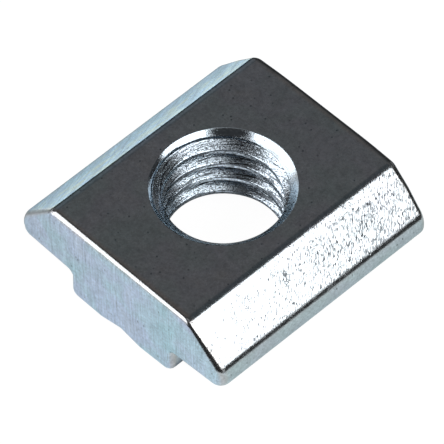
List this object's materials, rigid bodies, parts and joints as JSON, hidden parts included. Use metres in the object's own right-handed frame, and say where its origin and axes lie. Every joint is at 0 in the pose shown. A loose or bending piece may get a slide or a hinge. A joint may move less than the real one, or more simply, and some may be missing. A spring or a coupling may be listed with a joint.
{
  "type": "t slot nut",
  "caption": "Square T-slot nut: flat top with 45 degree shoulders, a boss for the slot mouth and a threaded through hole.",
  "frame": {"origin": "on the thread axis, in the flat face under the boss", "axes": "+Z along the thread axis from the boss to the flat top, Y along the slot, X across the slot"},
  "size_m": [0.0202, 0.0204, 0.0075],
  "materials": {
    "zinc_plated_steel": "bright zinc plating with a clear blue passivation, slightly tumbled"
  },
  "bodies": {
    "root": {"t_slot_nut": "zinc_plated_steel"}
  },
  "joints": []
}
